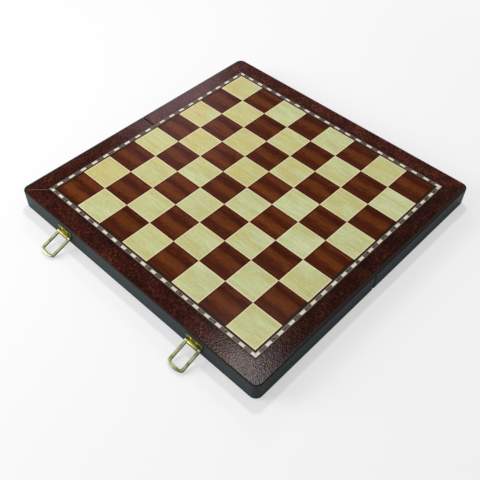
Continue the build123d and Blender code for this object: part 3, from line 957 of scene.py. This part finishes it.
# A node's screws as one piece: each turned about its own axis, laid along the direction and moved
def screwSet(node, kind, places, direction, body):
    lay = np.array(Vector((0, 0, 1)).rotation_difference(Vector(direction)).to_matrix())
    shells = []
    for index, place in enumerate(places):
        angle = screwForm["firstTurn"] + screwForm["nextTurn"] * index
        turn = lay @ np.array(Matrix.Rotation(angle, 3, "Z"))
        for rings in (screwHead(kind, screwForm), screwShank(kind, screwForm)[::-1]):
            shells.append(shell(rings @ turn.T + np.array(place)))
    piece(node + "_slotted", shells, finishes["brass"], body, [node])


latchX = joints["right_loop_swing"]["pos_m"][0]
plateFace = board["halfDepth"] + plateSizes["sheet"]
for plate, way, body in (("latch", -1, "front_half"), ("catch", 1, "back_half")):
    node = plate + "_plate_screws"
    low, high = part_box(node)
    spread = plateScrewSizes[plate + "Spread"]
    stations = [middle + step for middle in (-latchX, latchX) for step in (-spread, spread)]
    places = [(x, way * plateFace, (low.z + high.z) / 2) for x in stations]
    screwSet(node, plateScrewSizes, places, (0, way, 0), body)
for half, way in (("front", -1), ("back", 1)):
    node = half + "_hinge_screws"
    low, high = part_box(node)
    rim, spacing = hingeScrewSizes["headRadius"], hingeScrewSizes["spacing"]
    inset = way * (min(abs(low.y), abs(high.y)) + rim)
    reach = high.x - rim
    places = [(x, inset, 0) for x in (-reach, spacing - reach, reach - spacing, reach)]
    screwSet(node, hingeScrewSizes, places, (0, 0, -1), half + "_half")
print("screws cut")

# Camera: fitted to the corners of the squares and the outline in the photograph
camera = {
    "place": (381.85 * mm, -424.81 * mm, 582.16 * mm),
    "azimuth": 42.663,
    "elevation": 48.802,
    "roll": 1.211,
    "lens": 49.95,
    "sensor": 36.0,
    "nearest": 0.01,
}


# The camera looks down and along the azimuth, and is then rolled about its own line of sight
def addCamera(view):
    azimuth, elevation, roll = (math.radians(view[key]) for key in ("azimuth", "elevation", "roll"))
    level = math.cos(elevation)
    forward = Vector((-math.sin(azimuth) * level, math.cos(azimuth) * level, -math.sin(elevation)))
    sideways = forward.cross(Vector((0, 0, 1))).normalized()
    upright = sideways.cross(forward)
    right = sideways * math.cos(roll) + upright * math.sin(roll)
    axes = Matrix((right, right.cross(forward), -forward)).transposed()
    data = bpy.data.cameras.new("photoView")
    data.sensor_width = view["sensor"]
    data.lens = view["lens"]
    data.clip_start = view["nearest"]
    made = bpy.data.objects.new("photoView", data)
    made.matrix_world = Matrix.Translation(view["place"]) @ axes.to_4x4()
    bpy.context.scene.collection.objects.link(made)
    bpy.context.scene.camera = made


addCamera(camera)

studio = {
    "ambient": 0.395,
    "white": (1.0, 1.0, 1.0, 1.0),
    "floorDrop": 1.7 * mm,
    "floorSize": 8.0,
    "floorColour": (0.9, 0.9, 0.9, 1.0),
    "floorGlow": 0.5,  # share of plain white that the camera sees in the floor under the board
    "floorFade": (0.35, 1.1),  # from here to there the floor turns plain white
    "lamps": {
        # place, aimed at, width, watts, colour
        "smallBack": ((-0.345, 0.379, 1.365), (0.15, -0.17, 0.02), 0.12, 6.6, (1.0, 1.0, 0.98)),
        "windowLeft": ((-1.566, 1.227, 1.365), (-0.18, 0.10, 0.02), 0.5, 8.5, (0.96, 0.70, 0.80)),
        "softFront": ((-0.95, -1.1, 0.62), (-0.05, -0.12, 0.0), 1.1, 17.0, (1.0, 1.0, 1.0)),
    },
}


# Floor a little under the rims, clear of the hinge knuckles, and pale so that it keeps a soft shadow
def addFloor(sizes):
    half, low = sizes["floorSize"] / 2, -sizes["floorDrop"]
    corners = [(-half, -half, low), (half, -half, low), (half, half, low), (-half, half, low)]
    mesh = bpy.data.meshes.new("floor")
    mesh.from_pydata(corners, [], [(0, 1, 2, 3)])
    tree = newTree("floorPaper")
    seenByCamera = tree.node("LightPath", output="Is Camera Ray")
    away = tree.node("VectorMath", {"operation": "LENGTH"}, {0: tree.place()}, output="Value")
    share = sizes["floorGlow"] + tree.rise(away, *sizes["floorFade"]) * (1 - sizes["floorGlow"])
    paper = tree.node("BsdfDiffuse", None, {"Color": sizes["floorColour"]})
    glow = tree.node("Emission", None, {"Color": sizes["white"], "Strength": 1.0})
    surface = tree.node("MixShader", None, {0: seenByCamera * share, 1: paper, 2: glow})
    tree.node("OutputMaterial", None, {"Surface": surface})
    mesh.materials.append(tree.owner)
    made = bpy.data.objects.new("floor", mesh)
    bpy.context.scene.collection.objects.link(made)


# World: even soft light, and plain white wherever the camera, gloss or glass looks past the object
def addWorld(sizes):
    world = bpy.data.worlds.new("studioWorld")
    bpy.context.scene.world = world
    tree = Tree(world)
    rays = tree.node("LightPath").socket.node.outputs
    names = ("Is Camera Ray", "Is Glossy Ray", "Is Transmission Ray")
    cameraRay, glossyRay, transmissionRay = (Wire(tree, rays[name]) for name in names)
    white = tree.least(cameraRay + glossyRay + transmissionRay, 1.0)
    strength = sizes["ambient"] + white * (1 - sizes["ambient"])
    light = tree.node("Background", None, {"Color": sizes["white"], "Strength": strength})
    tree.node("OutputWorld", None, {"Surface": light})


# Round soft lamps, each turned to look at its target
def addLamps(lamps):
    for name, (place, target, width, watts, colour) in lamps.items():
        data = bpy.data.lights.new(name, "AREA")
        data.shape = "DISK"
        data.size = width
        data.energy = watts
        data.color = colour
        made = bpy.data.objects.new(name, data)
        made.location = place
        made.rotation_euler = (Vector(target) - Vector(place)).to_track_quat("-Z", "Y").to_euler()
        bpy.context.scene.collection.objects.link(made)


addFloor(studio)
addWorld(studio)
addLamps(studio["lamps"])
bpy.context.scene.view_settings.view_transform = "Standard"
print("studio ready")
